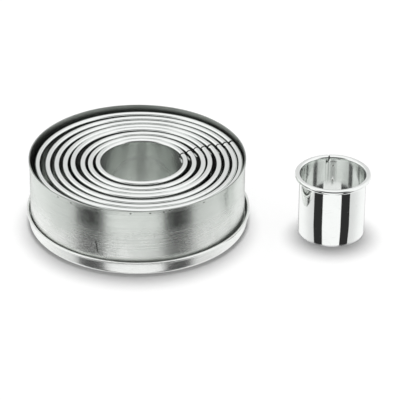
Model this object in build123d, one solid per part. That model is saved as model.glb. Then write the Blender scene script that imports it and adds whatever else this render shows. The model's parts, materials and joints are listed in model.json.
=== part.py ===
"""Boxed set of nine round plain pastry cutters.

A tinplate tin stands in its own upturned slip lid. Eight cutters are nested in the tin and the
smallest stands beside it. Millimetres, +Z up. The origin is the middle of the lid's underside,
on the surface that the set stands on. +Y points to the back and +X to the smallest cutter.
"""
from build123d import *
from math import cos, degrees, radians, sin
import os

os.makedirs("parts", exist_ok=True)

# Cutters
cutter_count = 9
smallest_diameter = 40.0
cutter_height = 40.0
cutter_sheet = 0.4
wire_diameter = 2.0
wire_fit = 0.23
curl_wrap_angle = 300.0
butt_gap = 0.5
edge_land = 0.2
edge_bevel_height = 1.0
lap_width = 4.4
lap_top_gap = 0.5
weld_top_inset = 2.5
weld_pitch = 10.0
weld_radius = 0.8
weld_depth = 0.06
weld_count = 3

# Free play between one cutter's bead and the wall round it
nest_play = 1.74
least_gap = 0.25

# Tin
tin_play = 1.79
tin_headroom = 2.4
tin_sheet = 0.35
hem_depth = 2.8
hem_fold_gap = 0.06
tin_seam_angle = 100.0
tin_lap_width = 8.0
tin_lap_end_gap = 0.4
base_flange_height = 2.6
base_fit = 0.03

# Lid
lid_slip = 0.69
lid_sheet = 0.35
lid_height = 9.2
lid_corner_radius = 2.5
lid_lip_diameter = 1.7
lid_lip_wrap_angle = 320.0

# Place of the smallest cutter beside the tin
beside_gap = 26.9
beside_angle = -5.8

# How far each piece leans from the middle of the one round it, as shares of its free play
tin_lean_shares = (-0.95, 0.0)
lean_shares = {
    9: (0.72, -0.67),
    8: (0.84, -0.53),
    7: (0.27, -0.21),
    6: (0.09, 0.03),
    5: (-0.28, 0.95),
    4: (0.60, -0.53),
    3: (-0.28, -0.05),
    2: (-0.28, 0.95),
}

# Bearing of each cutter's seam, seen from above, from +X towards +Y
seam_angles = {1: 93.5, 2: 18.3, 3: 24.8, 4: 27.8, 5: 24.8, 6: 27.0, 7: 25.5, 8: 25.3, 9: 24.0}

# Sizes worked out from the values above
bead_diameter = wire_diameter + 2 * (wire_fit + cutter_sheet)
bead_overhang = bead_diameter - cutter_sheet
nest_step = cutter_sheet + bead_overhang + nest_play


def cutter_radius(number):
    """Outer radius of a cutter's wall, where number 1 is the smallest."""
    return smallest_diameter / 2 + (number - 1) * nest_step


def bead_radius(number):
    """Outer radius of a cutter's beaded edge."""
    return cutter_radius(number) + bead_overhang


tin_inner_radius = bead_radius(cutter_count) + tin_play
tin_outer_radius = tin_inner_radius + tin_sheet
hem_radius = tin_outer_radius + hem_fold_gap + tin_sheet
base_radius = tin_outer_radius + base_fit + tin_sheet
lid_inner_radius = max(hem_radius, base_radius) + lid_slip
lid_outer_radius = lid_inner_radius + lid_sheet
lid_lip_radius = lid_inner_radius + lid_lip_diameter
lid_bend_radius = lid_corner_radius - lid_sheet
tin_bottom = lid_sheet
tin_floor = tin_bottom + tin_sheet
wall_foot = tin_bottom + lid_bend_radius
flange_top = wall_foot + base_flange_height
rim_height = tin_floor + cutter_height + tin_headroom


def leaned(middle, shares, play):
    """Middle of a piece that leans off another's middle by shares of the free play."""
    room = play - least_gap
    return (middle[0] + shares[0] * room, middle[1] + shares[1] * room)


tin_middle = leaned((0, 0), tin_lean_shares, lid_slip)
beside_distance = lid_lip_radius + beside_gap + bead_radius(1)
middles = {
    1: (
        beside_distance * cos(radians(beside_angle)),
        beside_distance * sin(radians(beside_angle)),
    )
}
outer_middle = tin_middle
outer_play = tin_play
for number in range(cutter_count, 1, -1):
    outer_middle = leaned(outer_middle, lean_shares[number], outer_play)
    middles[number] = outer_middle
    outer_play = nest_play


def turned_face(face, turn=360.0, start=0.0):
    """Solid of revolution about the Z axis of a face drawn with radius along X and height along Y."""
    return Rot(0, 0, start) * revolve(Plane.XZ * face, Axis.Z, turn)


def turned(outline, turn=360.0, start=0.0):
    """Solid of revolution about the Z axis of a closed outline drawn with radius along X and height along Y."""
    return turned_face(make_face(outline), turn, start)


def curl(inner_radius, top, sheet, diameter, wrap):
    """Outline of a sheet edge curled outwards and down, from the wall's inside round to its outside."""
    bend = (inner_radius + diameter / 2, top - diameter / 2)
    outside = CenterArc(bend, diameter / 2, 180, -wrap)
    inside = CenterArc(bend, diameter / 2 - sheet, 180, -wrap)
    return outside + Line(outside @ 1, inside @ 1) + inside


def sector(inner_radius, outer_radius, low, high, width, bearing):
    """Block bounded by two cylinders, of a given width along its inner face, centred on a bearing."""
    turn = degrees(width / inner_radius)
    outline = Polyline(
        (inner_radius, low),
        (outer_radius, low),
        (outer_radius, high),
        (inner_radius, high),
        close=True,
    )
    return turned(outline, turn, bearing - turn / 2)


def placed(solid, middle, height=0.0):
    """The solid moved from the Z axis to its own middle and height."""
    return Pos(middle[0], middle[1], height) * solid


def butt_turn(number):
    """Angle of the gap at the seam where the curl's ends, and the wire's, don't quite meet."""
    return degrees(butt_gap / cutter_radius(number))


def cutter_band(number):
    """One strip of sheet: bevelled foot, lapped and welded seam, top edge curled outwards over a wire."""
    wall = cutter_radius(number)
    inside = wall - cutter_sheet
    seam = seam_angles[number]
    bend_height = cutter_height - bead_diameter / 2
    foot = Polyline(
        (wall, bend_height),
        (wall, edge_bevel_height),
        (inside + edge_land, 0),
        (inside, 0),
        (inside, bend_height),
        close=True,
    )
    bead = curl(inside, cutter_height, cutter_sheet, bead_diameter, curl_wrap_angle)
    bead_root = Line((wall, bend_height), (inside, bend_height))
    gap = butt_turn(number)
    band = turned(foot, start=seam) + turned(bead + bead_root, 360 - gap, seam + gap / 2)

    # The strip's end laps over the inside of its start, clockwise from the seam
    lap_inside = inside - cutter_sheet
    lap_middle = seam - degrees(lap_width / lap_inside) / 2
    lap_top = cutter_height - bead_diameter - lap_top_gap
    band += sector(lap_inside, inside + cutter_sheet / 2, 0, lap_top, lap_width, lap_middle)

    # Spot welds press shallow round marks into the lap
    for row in range(weld_count):
        weld_height = lap_top - weld_top_inset - row * weld_pitch
        mark = Cylinder(weld_radius, weld_depth * 2, rotation=(0, 90, 0))
        band -= Rot(0, 0, lap_middle) * Pos(lap_inside, 0, weld_height) * mark
    return band


def bead_wire(number):
    """Wire ring inside the curled edge, cut with the strip, so its ends butt at the band's seam."""
    ring_radius = cutter_radius(number) - cutter_sheet + bead_diameter / 2
    section = Pos(ring_radius, cutter_height - bead_diameter / 2) * Circle(wire_diameter / 2)
    gap = butt_turn(number)
    return turned_face(section, 360 - gap, seam_angles[number] + gap / 2)


def tin_wall():
    """Band of tinplate with a hem folded flat outwards at the rim and a lap seam at the back."""
    fold_radius = tin_sheet + hem_fold_gap / 2
    fold_middle = (tin_inner_radius + fold_radius, rim_height - fold_radius)
    fold_outside = CenterArc(fold_middle, fold_radius, 180, -180)
    fold_inside = CenterArc(fold_middle, hem_fold_gap / 2, 180, -180)
    hem_foot = rim_height - hem_depth
    hem = Polyline(
        fold_outside @ 1,
        (hem_radius, hem_foot),
        (hem_radius - tin_sheet, hem_foot),
        fold_inside @ 1,
    )
    wall = Polyline(
        fold_inside @ 0,
        (tin_outer_radius, wall_foot),
        (tin_inner_radius, wall_foot),
        fold_outside @ 0,
    )
    band = turned(fold_outside + hem + fold_inside + wall)
    lap_foot = flange_top + tin_lap_end_gap
    lap_head = hem_foot - tin_lap_end_gap
    lap_root = tin_outer_radius - tin_sheet / 2
    lap_face = tin_outer_radius + tin_sheet
    return band + sector(lap_root, lap_face, lap_foot, lap_head, tin_lap_width, tin_seam_angle)


def tin_base():
    """Shallow pan that closes the tin's foot: its bend nests in the lid's, its flange grips the wall outside."""
    corner_middle = (base_radius - lid_bend_radius, wall_foot)
    outer_corner = CenterArc(corner_middle, lid_bend_radius, -90, 90)
    inner_corner = CenterArc(corner_middle, lid_bend_radius - tin_sheet, -90, 90)
    flange = Polyline(
        outer_corner @ 1,
        (base_radius, flange_top),
        (base_radius - tin_sheet, flange_top),
        inner_corner @ 1,
    )
    floor = Polyline(inner_corner @ 0, (0, tin_floor), (0, tin_bottom), outer_corner @ 0)
    return turned(outer_corner + flange + inner_corner + floor)


def slip_lid():
    """Pressed lid lying open side up: flat panel, rounded corner, short wall and curled lip."""
    lip_bend = lid_height - lid_lip_diameter / 2
    corner_middle = (lid_outer_radius - lid_corner_radius, lid_corner_radius)
    outer_corner = CenterArc(corner_middle, lid_corner_radius, -90, 90)
    inner_corner = CenterArc(corner_middle, lid_bend_radius, -90, 90)
    outer_wall = Line(outer_corner @ 1, (lid_outer_radius, lip_bend))
    inner_wall = Line((lid_inner_radius, lip_bend), inner_corner @ 1)
    panel = Polyline(inner_corner @ 0, (0, lid_sheet), (0, 0), outer_corner @ 0)
    lip = curl(lid_inner_radius, lid_height, lid_sheet, lid_lip_diameter, lid_lip_wrap_angle)
    return turned(outer_corner + outer_wall + lip + inner_wall + inner_corner + panel)


nodes = {
    "lid": slip_lid(),
    "tin_wall": placed(tin_wall(), tin_middle),
    "tin_base": placed(tin_base(), tin_middle),
}
for number in range(1, cutter_count + 1):
    foot_height = 0.0 if number == 1 else tin_floor
    nodes[f"cutter_{number}_band"] = placed(cutter_band(number), middles[number], foot_height)
    nodes[f"cutter_{number}_bead_wire"] = placed(bead_wire(number), middles[number], foot_height)

for name, solid in nodes.items():
    export_step(solid, f"parts/{name}.step")
    print(f"{name}: {len(solid.solids())} solid, {solid.volume:.1f} mm3")
for number, middle in middles.items():
    print(f"cutter {number}: middle {middle[0]:.3f}, {middle[1]:.3f}, radius {cutter_radius(number):.2f}")
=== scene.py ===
import json
from math import atan2, cos, hypot, pi, radians, sin

import bmesh
import bpy
from mathutils import Matrix, Vector

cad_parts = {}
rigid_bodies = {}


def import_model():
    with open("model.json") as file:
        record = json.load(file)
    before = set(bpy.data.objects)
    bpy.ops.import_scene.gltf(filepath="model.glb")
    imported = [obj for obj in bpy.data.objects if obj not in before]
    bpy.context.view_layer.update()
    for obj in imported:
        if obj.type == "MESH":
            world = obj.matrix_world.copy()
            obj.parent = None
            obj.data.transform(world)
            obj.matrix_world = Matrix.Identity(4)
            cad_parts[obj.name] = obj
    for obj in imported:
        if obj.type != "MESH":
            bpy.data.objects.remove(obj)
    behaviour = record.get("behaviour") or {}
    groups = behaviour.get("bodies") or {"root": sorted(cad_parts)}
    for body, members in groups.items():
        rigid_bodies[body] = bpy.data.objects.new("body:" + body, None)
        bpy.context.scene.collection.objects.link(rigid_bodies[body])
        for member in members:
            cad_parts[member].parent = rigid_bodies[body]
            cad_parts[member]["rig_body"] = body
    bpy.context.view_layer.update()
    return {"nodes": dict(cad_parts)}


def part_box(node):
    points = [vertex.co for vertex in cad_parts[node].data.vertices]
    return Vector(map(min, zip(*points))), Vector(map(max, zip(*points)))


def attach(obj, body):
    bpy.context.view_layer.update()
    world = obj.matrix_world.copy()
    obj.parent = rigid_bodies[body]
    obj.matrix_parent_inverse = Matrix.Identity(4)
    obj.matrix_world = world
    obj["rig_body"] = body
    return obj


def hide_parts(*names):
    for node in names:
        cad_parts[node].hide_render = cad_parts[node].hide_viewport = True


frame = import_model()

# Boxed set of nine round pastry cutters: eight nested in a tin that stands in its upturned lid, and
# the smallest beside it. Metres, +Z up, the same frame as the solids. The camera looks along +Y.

mm = 0.001

# ---------------------------------------------------------------- sizes of the cutters, as in the solids
sheet = 0.4 * mm
cutter_height = 40.0 * mm
bead_diameter = 3.26 * mm
curl_wrap = radians(300)
edge_land = 0.2 * mm
edge_bevel_height = 1.0 * mm
lap_width = 4.4 * mm
lap_top_gap = 0.5 * mm
weld_top_inset = 2.5 * mm
weld_pitch = 10.0 * mm
weld_radius = 0.8 * mm
weld_depth = 0.06 * mm
weld_count = 3
seam_bearings = {1: 93.5, 2: 18.3, 3: 24.8, 4: 27.8, 5: 24.8, 6: 27.0, 7: 25.5, 8: 25.3, 9: 24.0}

bend_height = cutter_height - bead_diameter / 2
bead_foot = cutter_height - bead_diameter
lap_top = bead_foot - lap_top_gap
weld_heights = [lap_top - weld_top_inset - row * weld_pitch for row in range(weld_count)]

# Finer detail of the seams: the gaps in the beads (in millimetres), and the joggle beside each lap
butt_gaps = {1: 0.8, 2: 1.0, 3: 0.8, 4: 0.6, 5: 0.8, 6: 1.0, 7: 0.6, 8: 0.9, 9: 1.1}
end_tuck = 0.14 * mm
joggle_head = 0.3 * mm
joggle_width = 1.8 * mm
lap_clearance = 0.02 * mm

# Rows of points at each weld, and the rings of its dent, in weld radii, with their shares of its depth
weld_rows = (1, 0.5, 0, -0.5, -1)
dent_rings = ((-1, 0.3, 1), (0.3, 0.6, 0.85), (0.6, 0.85, 0.4))

# ---------------------------------------------------------------- sizes of the tin and lid, as in the solids
tin_sheet = 0.35 * mm
hem_depth = 2.8 * mm
hem_fold_gap = 0.06 * mm
tin_seam_bearing = radians(100)
tin_lap_width = 8.0 * mm
tin_lap_end_gap = 0.4 * mm
lap_edge_bevel = 0.1 * mm
bend_radius = 2.15 * mm
lip_diameter = 1.7 * mm
lip_wrap = radians(320)
flange_top = 5.1 * mm

tin_low, tin_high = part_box("tin_wall")
lid_low, lid_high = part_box("lid")
tin_rim_height = tin_high.z
hem_foot_height = tin_rim_height - hem_depth
tin_centre = ((tin_low.x + tin_high.x) / 2, (tin_low.y + tin_high.y) / 2)
tin_inner_radius = (tin_high.x - tin_low.x) / 2 - 2 * tin_sheet - hem_fold_gap
lid_height = lid_high.z - lid_low.z

# Wear of the tin: pits in the hem, the band that the lid rubs, and one deeper scratch down the front
pit_depth = 0.12 * mm
pit_rows = (1.05 * mm, 1.95 * mm)
pit_rim = 0.05 * mm
pit_slope = 0.1 * mm
pit_bearings = (226.5, 235, 250, 268, 277.5, 284.75, 307.75)
rub_start, rub_full = 26.6 * mm, 33.4 * mm
rub_waver = 1.6 * mm
scratch_head_bearing = radians(-20.9)
scratch_head = 20.5 * mm
scratch_foot = 11.5 * mm
scratch_lean = radians(-1.1) / (6.8 * mm)
scratch_half_turns = (0.003, 0.011)

# ---------------------------------------------------------------- fineness of the shapes
rim_steps = 256
tin_steps = 360
bead_sides = 36
fold_sides = 24
bend_sides = 32
joggle_steps = 5
lap_steps = 12
join_distance = 0.001 * mm
bearing_slack = radians(0.02)
smooth_angle = radians(35)

# Where a flat panel has rings of points, as shares of its reach
panel_rings = (0.6, 0.25)


# ---------------------------------------------------------------- working the sheet metal
def clear_selection():
    """Leaves nothing selected, ready for a new primitive."""
    if bpy.context.object and bpy.context.object.mode != "OBJECT":
        bpy.ops.object.mode_set(mode="OBJECT")
    bpy.ops.object.select_all(action="DESELECT")


def pick(test):
    """Selects the points of the piece in edit mode that pass a test of their place."""
    mesh = bpy.context.object.data
    edit = bmesh.from_edit_mesh(mesh)
    for point in edit.verts:
        point.select = bool(test(point.co))
    edit.select_flush_mode()
    bmesh.update_edit_mesh(mesh)


def pick_faces(test):
    """Selects the faces of the piece in edit mode whose middles pass a test."""
    mesh = bpy.context.object.data
    bpy.context.tool_settings.mesh_select_mode = (False, False, True)
    edit = bmesh.from_edit_mesh(mesh)
    for part in (edit.verts, edit.edges, edit.faces):
        for item in part:
            item.select = False
    edit.select_mode = {"FACE"}
    for face in edit.faces:
        face.select = bool(test(face.calc_center_median()))
    edit.select_flush_mode()
    bmesh.update_edit_mesh(mesh)


def turn_from(p, bearing):
    """Angle from a bearing to a point, seen from above, between minus and plus half a turn."""
    return (atan2(p.y, p.x) - bearing + pi) % (2 * pi) - pi


def near(x, z, reach=0.01 * mm):
    """Test for the profile point at a radius and a height."""
    return lambda p: hypot(p.x - x, p.z - z) < reach


def at_bearing(bearing, low=-1.0, high=1.0):
    """Test for points on one bearing, between two heights."""
    return lambda p: abs(turn_from(p, bearing)) < bearing_slack and low <= p.z <= high


def profile_circle(name, radius, centre_radius, centre_height, sides):
    """Starts a piece as a circle that stands in the XZ plane, in edit mode, where a bead or bend goes."""
    clear_selection()
    bpy.ops.mesh.primitive_circle_add(vertices=sides, radius=radius, fill_type="NOTHING",
                                      location=(centre_radius, 0, centre_height), rotation=(pi / 2, 0, 0))
    piece = bpy.context.object
    piece.name = piece.data.name = name
    bpy.ops.object.transform_apply(location=True, rotation=True, scale=True)
    bpy.ops.object.mode_set(mode="EDIT")
    bpy.context.tool_settings.mesh_select_mode = (True, False, False)
    return piece


def keep_arc(centre_radius, centre_height, first, last):
    """Deletes the part of the profile circle that isn't between two angles, from +X towards +Z."""
    slack = radians(1)

    def outside(p):
        turn = (atan2(p.z - centre_height, p.x - centre_radius) - first + slack) % (2 * pi)
        return turn > last - first + 2 * slack

    pick(outside)
    bpy.ops.mesh.delete(type="VERT")


def draw_on(x, z, *stops):
    """Extrudes the profile's end point at (x, z) on to each stop in turn."""
    for next_x, next_z in stops:
        pick(near(x, z))
        bpy.ops.mesh.extrude_vertices_move(TRANSFORM_OT_translate={"value": (next_x - x, 0, next_z - z)})
        x, z = next_x, next_z


def bend_on(x, z, centre_x, centre_z, turn, steps):
    """Carries the profile's end point round a bend, anticlockwise seen with +X right and +Z up."""
    pick(near(x, z))
    bpy.ops.mesh.spin(steps=steps, angle=turn, center=(centre_x, 0, centre_z), axis=(0, 1, 0))


def swing(angle, steps):
    """Spins the selected points about the upright axis, anticlockwise from above. The operator's own
    positive turn is clockwise."""
    bpy.ops.mesh.spin(steps=steps, angle=-angle, center=(0, 0, 0), axis=(0, 0, 1))


def face_bearing(bearing):
    """Turns the whole profile to a bearing."""
    bpy.ops.mesh.select_all(action="SELECT")
    bpy.ops.transform.rotate(value=-bearing, orient_axis="Z", center_override=(0, 0, 0))


def squeeze(test, factor):
    """Moves the points that pass a test towards the upright axis, or away from it."""
    pick(test)
    bpy.ops.transform.resize(value=(factor, factor, 1), center_override=(0, 0, 0))


def thicken(piece, thickness):
    """Gives the sheet its thickness, half to each side."""
    bpy.ops.mesh.select_all(action="SELECT")
    bpy.ops.mesh.remove_doubles(threshold=join_distance)
    bpy.ops.mesh.normals_make_consistent(inside=False)
    bpy.ops.object.mode_set(mode="OBJECT")
    wall = piece.modifiers.new("thickness", "SOLIDIFY")
    wall.thickness = thickness
    wall.offset = 0
    wall.use_even_offset = True
    bpy.ops.object.modifier_apply(modifier=wall.name)
    bpy.ops.object.mode_set(mode="EDIT")


def keep_on_points(piece, marks_at):
    """Keeps on the points what was done to the metal there, as three shares that its finish reads."""
    bpy.ops.object.mode_set(mode="OBJECT")
    marks = piece.data.color_attributes.new("worked_metal", "FLOAT_COLOR", "POINT")
    for place, point in enumerate(piece.data.vertices):
        marks.data[place].color = (*marks_at(point.co), 1.0)


def finish_piece(piece, node, material):
    """Sets a finished piece in its node's place, with its material and body."""
    bpy.ops.object.mode_set(mode="OBJECT")
    low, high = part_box(node)
    piece.location = ((low.x + high.x) / 2, (low.y + high.y) / 2, low.z)
    bpy.ops.object.transform_apply(location=True, rotation=True, scale=True)
    bpy.ops.object.shade_smooth_by_angle(angle=smooth_angle)
    piece.data.materials.clear()
    piece.data.materials.append(material)
    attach(piece, frame["nodes"][node]["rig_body"])
    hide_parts(node)


# ---------------------------------------------------------------- building a finish
def add_node(tree, kind, inputs=None, **settings):
    """Adds a node with its settings, and joins or sets its inputs."""
    node = tree.nodes.new("ShaderNode" + kind)
    for setting, value in settings.items():
        setattr(node, setting, value)
    for socket, value in (inputs or {}).items():
        if isinstance(value, bpy.types.NodeSocket):
            tree.links.new(value, node.inputs[socket])
        else:
            node.inputs[socket].default_value = value
    return node


def sums(tree, operation, *values, clamp=False):
    """One step of arithmetic on values that change over the surface."""
    return add_node(tree, "Math", dict(enumerate(values)), operation=operation, use_clamp=clamp).outputs[0]


def times(tree, first, *others):
    """Product of masks and shares."""
    for other in others:
        first = sums(tree, "MULTIPLY", first, other)
    return first


def rest_of(tree, mask):
    """What a mask leaves: 1 where it is 0, and 0 where it is 1."""
    return sums(tree, "SUBTRACT", 1.0, mask)


def built_up(tree, start, *parts):
    """A starting value, with a share of each mask added."""
    total = start
    for mask, share in parts:
        total = sums(tree, "ADD", total, sums(tree, "MULTIPLY", mask, share))
    return total


def between(tree, value, low, high):
    """Smooth rise of a mask from 0 to 1 as a value goes from low to high."""
    rise = add_node(tree, "MapRange", {"Value": value, "From Min": low, "From Max": high})
    rise.interpolation_type = "SMOOTHSTEP"
    return rise.outputs[0]


def noise(tree, place, scale, detail, **more):
    """Uneven values over the surface."""
    inputs = {"Vector": place, "Scale": scale, "Detail": detail, **more}
    return add_node(tree, "TexNoise", inputs).outputs[0]


def blend(tree, mask, first, second):
    """Mixes two colours by a mask."""
    return add_node(tree, "Mix", {0: mask, 6: first, 7: second}, data_type="RGBA").outputs[2]


def tint(tree, colour, mask, share, other):
    """Mixes up to a share of another colour into a colour, by a mask."""
    return blend(tree, sums(tree, "MULTIPLY", mask, share), colour, other)


def surface_place(tree):
    """The piece's own coordinates, whole and split."""
    place = add_node(tree, "TexCoord").outputs["Object"]
    return place, add_node(tree, "SeparateXYZ", {0: place}).outputs


def worked_shares(tree):
    """The three shares that keep_on_points keeps."""
    worked = add_node(tree, "Attribute", attribute_name="worked_metal")
    return add_node(tree, "SeparateColor", {0: worked.outputs["Color"]}).outputs


def new_material(name):
    """A material, with its node tree and its Principled node."""
    material = bpy.data.materials.new(name)
    material.use_nodes = True
    return material, material.node_tree, material.node_tree.nodes["Principled BSDF"]


def set_finish(tree, metal, colour, roughness, height, bump_distance):
    """Joins a colour, a roughness and a height to the metal."""
    tree.links.new(colour, metal.inputs["Base Color"])
    tree.links.new(roughness, metal.inputs["Roughness"])
    bump = add_node(tree, "Bump", {"Height": height, "Distance": bump_distance, "Strength": 1.0})
    tree.links.new(bump.outputs[0], metal.inputs["Normal"])


# ---------------------------------------------------------------- effects that the finishes share
def new_effect(name, inputs, outputs):
    """A node group for an effect that several finishes share."""
    group = bpy.data.node_groups.new(name, "ShaderNodeTree")
    for socket, value in inputs.items():
        given = group.interface.new_socket(socket, in_out="INPUT", socket_type="NodeSocketFloat")
        given.default_value = value
    for socket in outputs:
        group.interface.new_socket(socket, in_out="OUTPUT", socket_type="NodeSocketFloat")
    return group, group.nodes.new("NodeGroupInput").outputs, group.nodes.new("NodeGroupOutput").inputs


def use_effect(tree, group, **inputs):
    """Places an effect in a finish with its own values."""
    node = tree.nodes.new("ShaderNodeGroup")
    node.node_tree = group
    for socket, value in inputs.items():
        node.inputs[socket.replace("_", " ")].default_value = value
    return node.outputs


def make_rolling_lines():
    """Fine level lines left by the rolls: lighter and darker by turns, and fading in and out along
    the sheet."""
    tree, given, result = new_effect("rolling_lines", {"Around": 12.0, "Up": 2600.0}, ["Lines", "Fade"])
    place, axes = surface_place(tree)
    pace = add_node(tree, "CombineXYZ", {0: given["Around"], 1: given["Around"], 2: given["Up"]}).outputs[0]
    stretched = add_node(tree, "VectorMath", {0: place, 1: pace}, operation="MULTIPLY").outputs[0]
    fine = noise(tree, stretched, 1.0, 2.0, Roughness=0.6)
    tree.links.new(between(tree, fine, 0.3, 0.7), result["Lines"])
    broad = noise(tree, stretched, 0.13, 1.0)
    tree.links.new(between(tree, broad, 0.35, 0.65), result["Fade"])
    return tree


def make_handling_marks():
    """Cloudy dulling from hands and cloths, and sparse slanting scratches in three directions."""
    scratch_slants = ((0.5, 3.1), (-0.35, 8.7), (1.2, 14.2))
    across_pace, along_pace, sharpness = 3200.0, 110.0, 18.0
    tree, given, result = new_effect("handling_marks", {"Cloud size": 60.0, "Scratch cut": 0.66},
                                     ["Clouds", "Scratches"])
    place, axes = surface_place(tree)
    cloud = noise(tree, place, given["Cloud size"], 3.0, Roughness=0.55, Distortion=0.4)
    tree.links.new(between(tree, cloud, 0.3, 0.7), result["Clouds"])
    level = sums(tree, "ADD", axes[0], axes[1])
    marks = None
    for slant, seed in scratch_slants:
        across = sums(tree, "ADD", times(tree, axes[2], cos(slant)), times(tree, level, sin(slant)))
        along = sums(tree, "SUBTRACT", times(tree, level, cos(slant)), times(tree, axes[2], sin(slant)))
        spot = add_node(tree, "CombineXYZ", {0: times(tree, across, across_pace),
                                             1: times(tree, along, along_pace), 2: seed}).outputs[0]
        fibre = noise(tree, spot, 1.0, 1.0)
        line = sums(tree, "SUBTRACT", fibre, given["Scratch cut"])
        line = sums(tree, "MULTIPLY", line, sharpness, clamp=True)
        marks = line if marks is None else sums(tree, "MAXIMUM", marks, line)
    tree.links.new(marks, result["Scratches"])
    return tree


def make_level_line():
    """A mask along one level of the piece, for painted shade along a joint or crease."""
    tree, given, result = new_effect("level_line", {"Height": 0.01, "Reach": 0.0003}, ["Line"])
    place, axes = surface_place(tree)
    off = sums(tree, "ABSOLUTE", sums(tree, "SUBTRACT", axes[2], given["Height"]))
    share = sums(tree, "SUBTRACT", 1.0, sums(tree, "DIVIDE", off, given["Reach"]), clamp=True)
    uneven = noise(tree, place, 350.0, 2.0)
    tree.links.new(times(tree, share, between(tree, uneven, 0.25, 0.6)), result["Line"])
    return tree


rolling_lines = make_rolling_lines()
handling_marks = make_handling_marks()
level_line = make_level_line()


# ---------------------------------------------------------------- finishes
def make_polished_steel():
    """Mirror bright rolled steel, with faint polishing lines, warm tints at the welds, a ground foot, and
    a slight haze inside, where the polishing wheel reaches less. The bead's cut ends and the slit under
    them get near-black painted shade."""
    bright, hazed = (0.945, 0.965, 0.95, 1), (0.91, 0.93, 0.915, 1)
    bright_inside, hazed_inside = (0.85, 0.875, 0.855, 1), (0.80, 0.825, 0.80, 1)
    lined, scratched = (0.88, 0.90, 0.885, 1), (0.72, 0.73, 0.72, 1)
    heated, ground_steel, painted_cut_end_shade = (0.26, 0.25, 0.22, 1), (0.80, 0.81, 0.81, 1), (0.16, 0.17, 0.16, 1)

    material, tree, metal = new_material("polished_steel")
    lines = use_effect(tree, rolling_lines, Around=25.0, Up=5200.0)
    marks = use_effect(tree, handling_marks, Cloud_size=90.0, Scratch_cut=0.72)
    place, axes = surface_place(tree)
    heat, cut, inside = worked_shares(tree)
    low_down = sums(tree, "LESS_THAN", axes[2], 2 * edge_bevel_height)
    ground = times(tree, between(tree, cut, 0.02, 0.12), low_down)
    shaded_cut_end = times(tree, between(tree, cut, 0.55, 0.95), rest_of(tree, low_down))

    colour = tint(tree, bright, marks["Clouds"], 0.6, hazed)
    colour = blend(tree, inside, colour, blend(tree, marks["Clouds"], bright_inside, hazed_inside))
    colour = tint(tree, colour, lines["Lines"], 0.25, lined)
    colour = tint(tree, colour, marks["Scratches"], 0.5, scratched)
    colour = blend(tree, between(tree, heat, 0.1, 0.6), colour, heated)
    colour = blend(tree, ground, colour, ground_steel)
    # The bead's cut ends and the slit under them are painted near black: painted shade in the butt gap.
    colour = blend(tree, shaded_cut_end, colour, painted_cut_end_shade)
    rough = built_up(tree, 0.025, (marks["Clouds"], 0.03), (inside, 0.06), (lines["Lines"], 0.02),
                     (marks["Scratches"], 0.12), (ground, 0.22))
    tree.links.new(built_up(tree, 1.0, (inside, -0.12)), metal.inputs["Metallic"])
    set_finish(tree, metal, colour, rough, noise(tree, place, 70.0, 1.0), 0.018 * mm)
    return material


def make_drawn_wire():
    """Plain steel wire with the fine lines and dull patches that drawing leaves."""
    bright, lined, dull = (0.42, 0.43, 0.42, 1), (0.30, 0.31, 0.30, 1), (0.22, 0.22, 0.20, 1)
    material, tree, metal = new_material("drawn_wire")
    metal.inputs["Metallic"].default_value = 1
    lines = use_effect(tree, rolling_lines, Around=30.0, Up=7000.0)
    marks = use_effect(tree, handling_marks, Cloud_size=300.0, Scratch_cut=0.7)
    colour = blend(tree, lines["Lines"], bright, lined)
    colour = tint(tree, colour, marks["Clouds"], 0.5, dull)
    rough = built_up(tree, 0.3, (marks["Clouds"], 0.15))
    set_finish(tree, metal, colour, rough, lines["Lines"], 0.02 * mm)
    return material


def rubbed_rim(tree, place, height):
    """Mask of the band under the rim that the lid slides over, uneven at its foot and less on the hem."""
    edge = built_up(tree, height, (noise(tree, place, 40.0, 2.0), rub_waver))
    rubbed = between(tree, edge, rub_start, rub_full)
    on_hem = between(tree, height, hem_foot_height - 0.2 * mm, hem_foot_height + 0.5 * mm)
    return times(tree, rubbed, built_up(tree, 1.0, (on_hem, -0.6)))


def shaded_inside_of_tin(tree, east, north, height):
    """Mask of the painted shade on the tin's inside and the top of its rim, less on the floor."""
    span = sums(tree, "SQRT", sums(tree, "ADD", times(tree, east, east), times(tree, north, north)))
    inside = rest_of(tree, between(tree, span, tin_inner_radius + 0.05 * mm, tin_inner_radius + 0.3 * mm))
    above_floor = between(tree, height, 1.5 * mm, 4 * mm)
    inside = times(tree, inside, built_up(tree, 0.35, (above_floor, 0.65)))
    top = between(tree, height, tin_rim_height - 0.25 * mm, tin_rim_height - 0.1 * mm)
    return sums(tree, "MAXIMUM", inside, top)


def front_scratch(tree, east, north, height):
    """Mask of the one deeper scratch, which leans a little, ends short at its head and fades at its foot."""
    bearing = sums(tree, "ARCTAN2", east, times(tree, north, -1))
    drift = times(tree, sums(tree, "SUBTRACT", height, scratch_head), scratch_lean)
    off = sums(tree, "SUBTRACT", sums(tree, "SUBTRACT", bearing, scratch_head_bearing), drift)
    score = rest_of(tree, between(tree, sums(tree, "ABSOLUTE", off), *scratch_half_turns))
    return times(tree, score, between(tree, height, scratch_foot, scratch_foot + 2 * mm),
                 sums(tree, "LESS_THAN", height, scratch_head))


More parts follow.
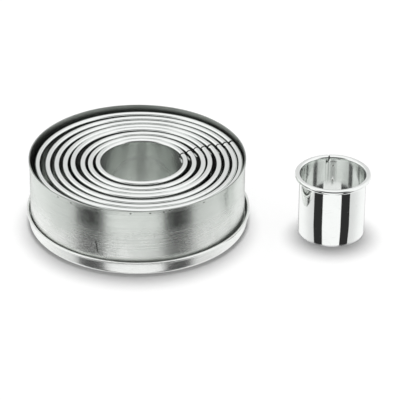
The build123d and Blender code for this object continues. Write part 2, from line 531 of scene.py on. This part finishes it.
def make_satin_tinplate():
    """Satin tinplate: frosted, with level rolling lines, clearer where the lid rubs the rim, pitted and
    scratched in places. Its colour carries painted light and shade: paler at the foot, greyer at the head,
    dark grey inside and on the rim's top, and dark lines under the hem and at the flange."""
    painted_light_foot, painted_shade_head = (0.99, 1.0, 0.98, 1), (0.72, 0.755, 0.72, 1)
    clouded, lined, scratched = (0.68, 0.715, 0.68, 1), (0.60, 0.64, 0.60, 1), (0.52, 0.55, 0.53, 1)
    painted_line_shade, bare_iron = (0.28, 0.30, 0.28, 1), (0.10, 0.11, 0.10, 1)
    bright_inside, clouded_inside_shade = (0.38, 0.40, 0.38, 1), (0.26, 0.28, 0.26, 1)

    material, tree, metal = new_material("satin_tinplate")
    metal.inputs["Anisotropic"].default_value = 0.7
    metal.inputs["Anisotropic Rotation"].default_value = 0.25
    lines = use_effect(tree, rolling_lines, Around=10.0, Up=1700.0)
    marks = use_effect(tree, handling_marks, Cloud_size=45.0, Scratch_cut=0.68)
    hem_line = use_effect(tree, level_line, Height=hem_foot_height - 0.1 * mm, Reach=0.25 * mm)
    foot_line = use_effect(tree, level_line, Height=flange_top, Reach=0.3 * mm)
    place, axes = surface_place(tree)
    east = sums(tree, "SUBTRACT", axes[0], tin_centre[0])
    north = sums(tree, "SUBTRACT", axes[1], tin_centre[1])
    rubbed = rubbed_rim(tree, place, axes[2])
    inside = shaded_inside_of_tin(tree, east, north, axes[2])
    score = front_scratch(tree, east, north, axes[2])
    pitted = worked_shares(tree)[0]

    # The colour is paler at the foot and greyer towards the head: painted light and shade of the
    # reflections.
    colour = blend(tree, between(tree, axes[2], 8 * mm, 34 * mm), painted_light_foot, painted_shade_head)
    colour = tint(tree, colour, marks["Clouds"], 0.65, clouded)
    colour = tint(tree, colour, times(tree, lines["Lines"], lines["Fade"]), 0.25, lined)
    colour = tint(tree, colour, marks["Scratches"], 0.35, scratched)
    # Dark lines under the hem's foot and at the flange's top: painted shade in the joints.
    colour = tint(tree, colour, sums(tree, "MAXIMUM", hem_line["Line"], foot_line["Line"]), 0.8, painted_line_shade)
    broken = sums(tree, "MAXIMUM", times(tree, score, 0.8), between(tree, pitted, 0.0, 0.5))
    colour = blend(tree, broken, colour, bare_iron)
    # The inside and the rim's top are painted dark grey: painted shade of the tin's inside.
    colour = blend(tree, inside, colour, blend(tree, marks["Clouds"], bright_inside, clouded_inside_shade))
    rough = built_up(tree, 0.22, (rubbed, -0.05), (marks["Clouds"], 0.05), (lines["Lines"], 0.05),
                     (inside, 0.1))
    bare = built_up(tree, 0.95, (sums(tree, "MAXIMUM", rubbed, inside), 0.05))
    tree.links.new(bare, metal.inputs["Metallic"])

    # The frosting is a fine grain, flat in its hollows, that is worn where rubbed and isn't there inside.
    # The heights of the grain and the lines are counted in depths of the scratch
    grain_height, line_height = 13.0, 0.18
    grain = sums(tree, "MAXIMUM", noise(tree, place, 2600.0, 1.0), 0.5)
    worn = sums(tree, "MAXIMUM", inside, times(tree, rubbed, 0.42))
    frosted = times(tree, grain, grain_height, rest_of(tree, worn))
    height = sums(tree, "SUBTRACT", times(tree, lines["Lines"], line_height), score)
    set_finish(tree, metal, colour, rough, sums(tree, "ADD", height, frosted), 0.01 * mm)
    return material


def make_bright_tinplate():
    """Bright tinplate of the lid: close rolling lines, a little haze, and painted shade in the crease under
    the lip."""
    bright, hazed = (0.96, 0.975, 0.955, 1), (0.89, 0.91, 0.885, 1)
    lined, scratched, painted_line_shade = (0.72, 0.75, 0.73, 1), (0.58, 0.61, 0.59, 1), (0.40, 0.42, 0.40, 1)
    material, tree, metal = new_material("bright_tinplate")
    metal.inputs["Metallic"].default_value = 0.92
    metal.inputs["Anisotropic"].default_value = 0.4
    metal.inputs["Anisotropic Rotation"].default_value = 0.25
    lines = use_effect(tree, rolling_lines, Around=14.0, Up=2400.0)
    marks = use_effect(tree, handling_marks, Cloud_size=55.0, Scratch_cut=0.68)
    crease = use_effect(tree, level_line, Height=lid_height - lip_diameter, Reach=0.35 * mm)
    colour = tint(tree, bright, marks["Clouds"], 0.5, hazed)
    colour = tint(tree, colour, times(tree, lines["Lines"], lines["Fade"]), 0.3, lined)
    colour = tint(tree, colour, marks["Scratches"], 0.4, scratched)
    # The crease under the lip curl is darkened: painted shade.
    colour = tint(tree, colour, crease["Line"], 0.5, painted_line_shade)
    rough = built_up(tree, 0.18, (marks["Clouds"], 0.06), (lines["Lines"], 0.06))
    set_finish(tree, metal, colour, rough, lines["Lines"], 0.004 * mm)
    return material


polished_steel = make_polished_steel()
drawn_wire = make_drawn_wire()
satin_tinplate = make_satin_tinplate()
bright_tinplate = make_bright_tinplate()


# ---------------------------------------------------------------- cutters
def make_cutter(number):
    """One strip with a curled bead at the top, its end joggled inwards and welded under its start."""
    node = f"cutter_{number}_band"
    low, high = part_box(node)
    wall = (high.x - low.x) / 2 - bead_diameter + sheet
    middle_wall = wall - sheet / 2
    lap_radius = middle_wall - sheet - lap_clearance
    lap_face = lap_radius - sheet / 2
    seam = radians(seam_bearings[number])
    lap_middle = seam - lap_width / wall / 2
    gap_turn = butt_gaps[number] * mm / wall
    joggle_turn = joggle_width / wall

    # The profile, from the curl's end round to the wall and down to the foot
    curl_radius = (bead_diameter - sheet) / 2
    curl_middle = middle_wall + curl_radius
    name = f"cutter_{number}_beaded_band"
    piece = profile_circle(name, curl_radius, curl_middle, bend_height, bead_sides)
    keep_arc(curl_middle, bend_height, pi - curl_wrap, pi)
    rows = [lap_top + joggle_head, lap_top]
    for height in weld_heights:
        rows += [height + share * weld_radius for share in weld_rows]
    rows += [edge_bevel_height, 0]
    draw_on(middle_wall, bend_height, *[(middle_wall, height) for height in rows])
    face_bearing(seam)

    # Clockwise all round from the seam. The last bit, short of the butt gap, is the joggle, eased inwards
    bpy.ops.mesh.select_all(action="SELECT")
    swing(-(2 * pi - gap_turn - joggle_turn), rim_steps - 2)
    joggle_start = seam + gap_turn + joggle_turn
    pick(at_bearing(joggle_start))
    swing(-joggle_turn, joggle_steps)
    shift = (sheet + lap_clearance) / middle_wall
    for step in range(1, joggle_steps + 1):
        share = step / joggle_steps
        ease = share * share * (3 - 2 * share)
        bearing = joggle_start - joggle_turn * share
        squeeze(at_bearing(bearing, high=lap_top + join_distance), 1 - shift * ease)

    # The wall closes below the bead, and the lap runs on inside
    pick(at_bearing(seam + gap_turn, high=bend_height + join_distance))
    swing(-gap_turn, 1)
    on_seam = at_bearing(seam, high=lap_top + join_distance)
    pick(lambda p: on_seam(p) and hypot(p.x, p.y) < lap_radius + sheet / 2)
    swing(-lap_width / wall, lap_steps)
    thicken(piece, sheet)

    # The cut ends of the bead tuck in a little
    for bearing in (seam, seam + gap_turn):
        squeeze(at_bearing(bearing, low=bend_height), 1 - end_tuck / wall)

    # The foot is ground to an edge outside
    outer_face = wall - 0.1 * sheet
    squeeze(lambda p: p.z < join_distance and hypot(p.x, p.y) > outer_face,
            (wall - sheet + edge_land) / wall)

    # The electrode presses round dents into the lap's inner face
    def weld_span(p):
        """Distance to the nearest weld's middle, in weld radii, for points of the lap's inner face."""
        if hypot(p.x, p.y) > lap_face + sheet / 4:
            return weld_count * weld_pitch / weld_radius
        off = turn_from(p, lap_middle) * lap_face
        return min(hypot(off, p.z - height) for height in weld_heights) / weld_radius

    for first, last, share in dent_rings:
        squeeze(lambda p: first < weld_span(p) <= last, 1 + weld_depth * share / lap_face)

    def marks_at(p):
        """Shares of the welds' heat, of the ground foot and of the cut ends and slit at the seam, which get
        painted shade, and of the inside.
        """
        turn = turn_from(p, seam)
        at_end = p.z > bead_foot and min(abs(turn), abs(turn - gap_turn)) < bearing_slack
        on_slit = lap_top - join_distance < p.z < bead_foot and 0 <= turn < gap_turn + joggle_turn
        cut = p.z < join_distance or at_end or on_slit
        inside = p.z < bead_foot and hypot(p.x, p.y) < middle_wall
        return max(0.0, 1 - weld_span(p)), float(cut), float(inside)

    keep_on_points(piece, marks_at)
    finish_piece(piece, node, polished_steel)


# ---------------------------------------------------------------- tin and lid
def make_tin_wall():
    """A band of tinplate with its top edge folded flat outwards, a lap seam at the back and a pitted hem."""
    low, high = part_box("tin_wall")
    height = high.z - low.z
    reach = (high.x - low.x) / 2
    middle_wall = tin_inner_radius + tin_sheet / 2
    fold_radius = (tin_sheet + hem_fold_gap) / 2
    fold_middle = middle_wall + fold_radius
    fold_height = height - fold_radius - tin_sheet / 2
    hem_wall = fold_middle + fold_radius
    hem_foot = height - hem_depth
    lap_head = hem_foot - tin_lap_end_gap
    lap_foot = flange_top - low.z + tin_lap_end_gap
    step = 2 * pi / tin_steps

    piece = profile_circle("tin_hemmed_wall", fold_radius, fold_middle, fold_height, fold_sides)
    keep_arc(fold_middle, fold_height, 0, pi)
    draw_on(hem_wall, fold_height, *[(hem_wall, height - row) for row in pit_rows], (hem_wall, hem_foot))
    draw_on(middle_wall, fold_height, (middle_wall, lap_head), (middle_wall, lap_foot), (middle_wall, 0))
    face_bearing(tin_seam_bearing - step / 2)
    bpy.ops.mesh.select_all(action="SELECT")
    swing(2 * pi, tin_steps)
    thicken(piece, tin_sheet)

    # The end of the sheet laps over its start at the back
    lap_half_turn = tin_lap_width / 2 / tin_inner_radius - step / 4
    pick_faces(lambda p: abs(turn_from(p, tin_seam_bearing)) < lap_half_turn
               and lap_foot < p.z < lap_head and hypot(p.x, p.y) > middle_wall)
    bpy.ops.mesh.extrude_region_shrink_fatten(TRANSFORM_OT_shrink_fatten={"value": tin_sheet})
    bpy.ops.mesh.region_to_loop()
    bpy.ops.mesh.bevel(offset=lap_edge_bevel, segments=2, affect="EDGES")

    # Small pits in the hem's outer face, with dark floors
    def on_pit_level(p):
        return height - pit_rows[1] < p.z < height - pit_rows[0]

    for bearing in pit_bearings:
        pick_faces(lambda p: abs(turn_from(p, radians(bearing))) <= step / 2
                   and on_pit_level(p) and hypot(p.x, p.y) > reach - tin_sheet / 2)
        bpy.ops.mesh.inset(thickness=pit_rim, depth=0)
        bpy.ops.mesh.inset(thickness=pit_slope, depth=-pit_depth)

    def marks_at(p):
        """Share of pitting, on the pits' floors alone."""
        on_floor = on_pit_level(p) and pit_depth / 2 < reach - hypot(p.x, p.y) < tin_sheet / 2
        return float(on_floor), 0.0, 0.0

    keep_on_points(piece, marks_at)
    finish_piece(piece, "tin_wall", satin_tinplate)


def make_pan(name, node, lip):
    """A pressed pan: flat panel, rounded corner, short wall, and a curled lip where the pan is the lid."""
    low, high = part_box(node)
    height = high.z - low.z
    reach = (high.x - low.x) / 2
    outer = reach - lip_diameter + tin_sheet if lip else reach
    corner = bend_radius + tin_sheet if lip else bend_radius
    wall_top = height - lip_diameter / 2 if lip else height
    middle_wall = outer - tin_sheet / 2
    middle_panel = tin_sheet / 2

    piece = profile_circle(name, corner - tin_sheet / 2, outer - corner, corner, bend_sides)
    keep_arc(outer - corner, corner, -pi / 2, 0)
    draw_on(middle_wall, corner, (middle_wall, wall_top))
    if lip:
        curl_radius = (lip_diameter - tin_sheet) / 2
        bend_on(middle_wall, wall_top, middle_wall + curl_radius, wall_top, -lip_wrap, bend_sides)
    draw_on(outer - corner, middle_panel, *[(share * outer, middle_panel) for share in panel_rings],
            (0, middle_panel))
    bpy.ops.mesh.select_all(action="SELECT")
    swing(2 * pi, rim_steps)
    thicken(piece, tin_sheet)
    finish_piece(piece, node, bright_tinplate if lip else satin_tinplate)


for number in seam_bearings:
    make_cutter(number)
    wire = frame["nodes"][f"cutter_{number}_bead_wire"]
    for slot in wire.material_slots:
        slot.material = drawn_wire
make_tin_wall()
make_pan("tin_base_pan", "tin_base", lip=False)
make_pan("slip_lid", "lid", lip=True)


# ---------------------------------------------------------------- floor, light and camera
floor_size = 8
ambient = 0.36
lamp_share = 0.68
lamp_elevation = radians(78)
lamp_spread = radians(28)

# What metal sees all round it, as shares of white. Bearings are degrees from the camera's side towards
# +X, and heights are degrees above the level. Each pair is where a change starts and ends, and each dark
# gap is from one bearing to another.
table_end = (-18, -8)
dark_gaps = ((-67, -34.5), (29.5, 61.5))
gap_edge = 1
gap_level = 0.03
side_start, side_end = (55, 62), (62, 130)
side_level = 0.73
room_side, room_top = (30, 60), (32, 48)
room_level = 0.1
back_start, back_foot, back_top = (110, 150), (-8, 2), (42, 72)
back_level = 0.74
table_back_start = (150, 172)
table_back_level = 0.46

# The photograph is 400 pixels square. The set's middle and the focal length are in its pixels
picture_size = 400
set_middle = (138.53, 218.3)
focal_pixels = 2623.0
sensor_width = 36
camera_distance = 1.6
camera_reach = 20
look_down = radians(30.43)
picture_roll = radians(0.55)


def make_floor():
    """White paper under the set, which takes its shadow. Metal sees the world in its place."""
    clear_selection()
    bpy.ops.mesh.primitive_plane_add(size=floor_size, location=(0, 0, 0))
    floor = bpy.context.object
    floor.name = "floor"
    material, tree, paper = new_material("white_paper")
    paper.inputs["Base Color"].default_value = (1, 1, 1, 1)
    paper.inputs["Roughness"].default_value = 1
    paper.inputs["Specular IOR Level"].default_value = 0
    floor.data.materials.append(material)
    floor.visible_glossy = False


def make_lamp():
    """One broad soft lamp high behind the set, which lays the shadow on the near side."""
    data = bpy.data.lights.new("high_lamp", "SUN")
    data.energy = lamp_share * pi / sin(lamp_elevation)
    data.angle = lamp_spread
    lamp = bpy.data.objects.new("high_lamp", data)
    bpy.context.scene.collection.objects.link(lamp)
    lamp.rotation_euler = (-(pi / 2 - lamp_elevation), 0, 0)
    lamp.visible_glossy = False


def make_world():
    """White to the camera, and an even grey light for the floor. Metal sees white, less what the room
    takes: two dark gaps and dimmer sides low down, the dark room in front, and a dimmer back."""
    world = bpy.data.worlds.new("studio")
    bpy.context.scene.world = world
    world.use_nodes = True
    tree = world.node_tree
    tree.nodes.clear()

    def rise(value, low, high):
        """Smooth rise from 0 to 1 between two angles in degrees."""
        return between(tree, value, radians(low), radians(high))

    def fall(value, low, high):
        """Smooth fall from 1 to 0 between two angles in degrees."""
        return rest_of(tree, rise(value, low, high))

    direction = add_node(tree, "TexCoord").outputs["Generated"]
    axes = add_node(tree, "SeparateXYZ", {0: direction}).outputs
    bearing = sums(tree, "ARCTAN2", axes[0], times(tree, axes[1], -1))
    aside = sums(tree, "ABSOLUTE", bearing)
    height = sums(tree, "ARCSINE", axes[2])

    low_down = fall(height, *table_end)
    gaps = None
    for first, last in dark_gaps:
        gap = sums(tree, "SUBTRACT", rise(bearing, first - gap_edge, first + gap_edge),
                   rise(bearing, last - gap_edge, last + gap_edge))
        gaps = gap if gaps is None else sums(tree, "ADD", gaps, gap)
    side = times(tree, rise(aside, *side_start), fall(aside, *side_end), low_down)
    room = times(tree, fall(aside, *room_side),
                 sums(tree, "SUBTRACT", rise(height, *table_end), rise(height, *room_top)))
    above = rise(height, *back_foot)
    back = times(tree, rise(aside, *back_start), sums(tree, "SUBTRACT", above, rise(height, *back_top)))
    table_back = times(tree, rise(aside, *table_back_start), rest_of(tree, above))
    in_metal = built_up(tree, 1.0, (times(tree, gaps, low_down), gap_level - 1), (side, side_level - 1),
                        (room, room_level - 1), (back, back_level - 1), (table_back, table_back_level - 1))
    in_metal = sums(tree, "MAXIMUM", in_metal, gap_level)

    path = add_node(tree, "LightPath").outputs
    on_floor = sums(tree, "GREATER_THAN", path["Diffuse Depth"], 0.5)
    level = sums(tree, "ADD", times(tree, on_floor, ambient), times(tree, rest_of(tree, on_floor), in_metal))
    to_camera = path["Is Camera Ray"]
    level = sums(tree, "ADD", to_camera, times(tree, rest_of(tree, to_camera), level))
    sky = add_node(tree, "Background", {"Color": (1, 1, 1, 1), "Strength": level})
    add_node(tree, "OutputWorld", {"Surface": sky.outputs[0]})


def make_camera():
    """The photograph's camera, fitted to the rims of the set: it looks down along +Y."""
    forward = Vector((0, cos(look_down), -sin(look_down)))
    right = Vector((1, 0, 0))
    up = right.cross(forward)
    off_x = (set_middle[0] - picture_size / 2) / focal_pixels * camera_distance
    off_y = (set_middle[1] - picture_size / 2) / focal_pixels * camera_distance
    place = -camera_distance * forward - off_x * right + off_y * up
    turned_right = cos(picture_roll) * right + sin(picture_roll) * up
    turned_up = cos(picture_roll) * up - sin(picture_roll) * right
    data = bpy.data.cameras.new("camera")
    data.sensor_width = sensor_width
    data.lens = focal_pixels * sensor_width / picture_size
    data.clip_end = camera_reach
    camera = bpy.data.objects.new("camera", data)
    bpy.context.scene.collection.objects.link(camera)
    axes = Matrix((turned_right, turned_up, -forward)).transposed()
    camera.matrix_world = Matrix.Translation(place) @ axes.to_4x4()
    bpy.context.scene.camera = camera


make_floor()
make_lamp()
make_world()
make_camera()
bpy.context.scene.view_settings.view_transform = "Standard"
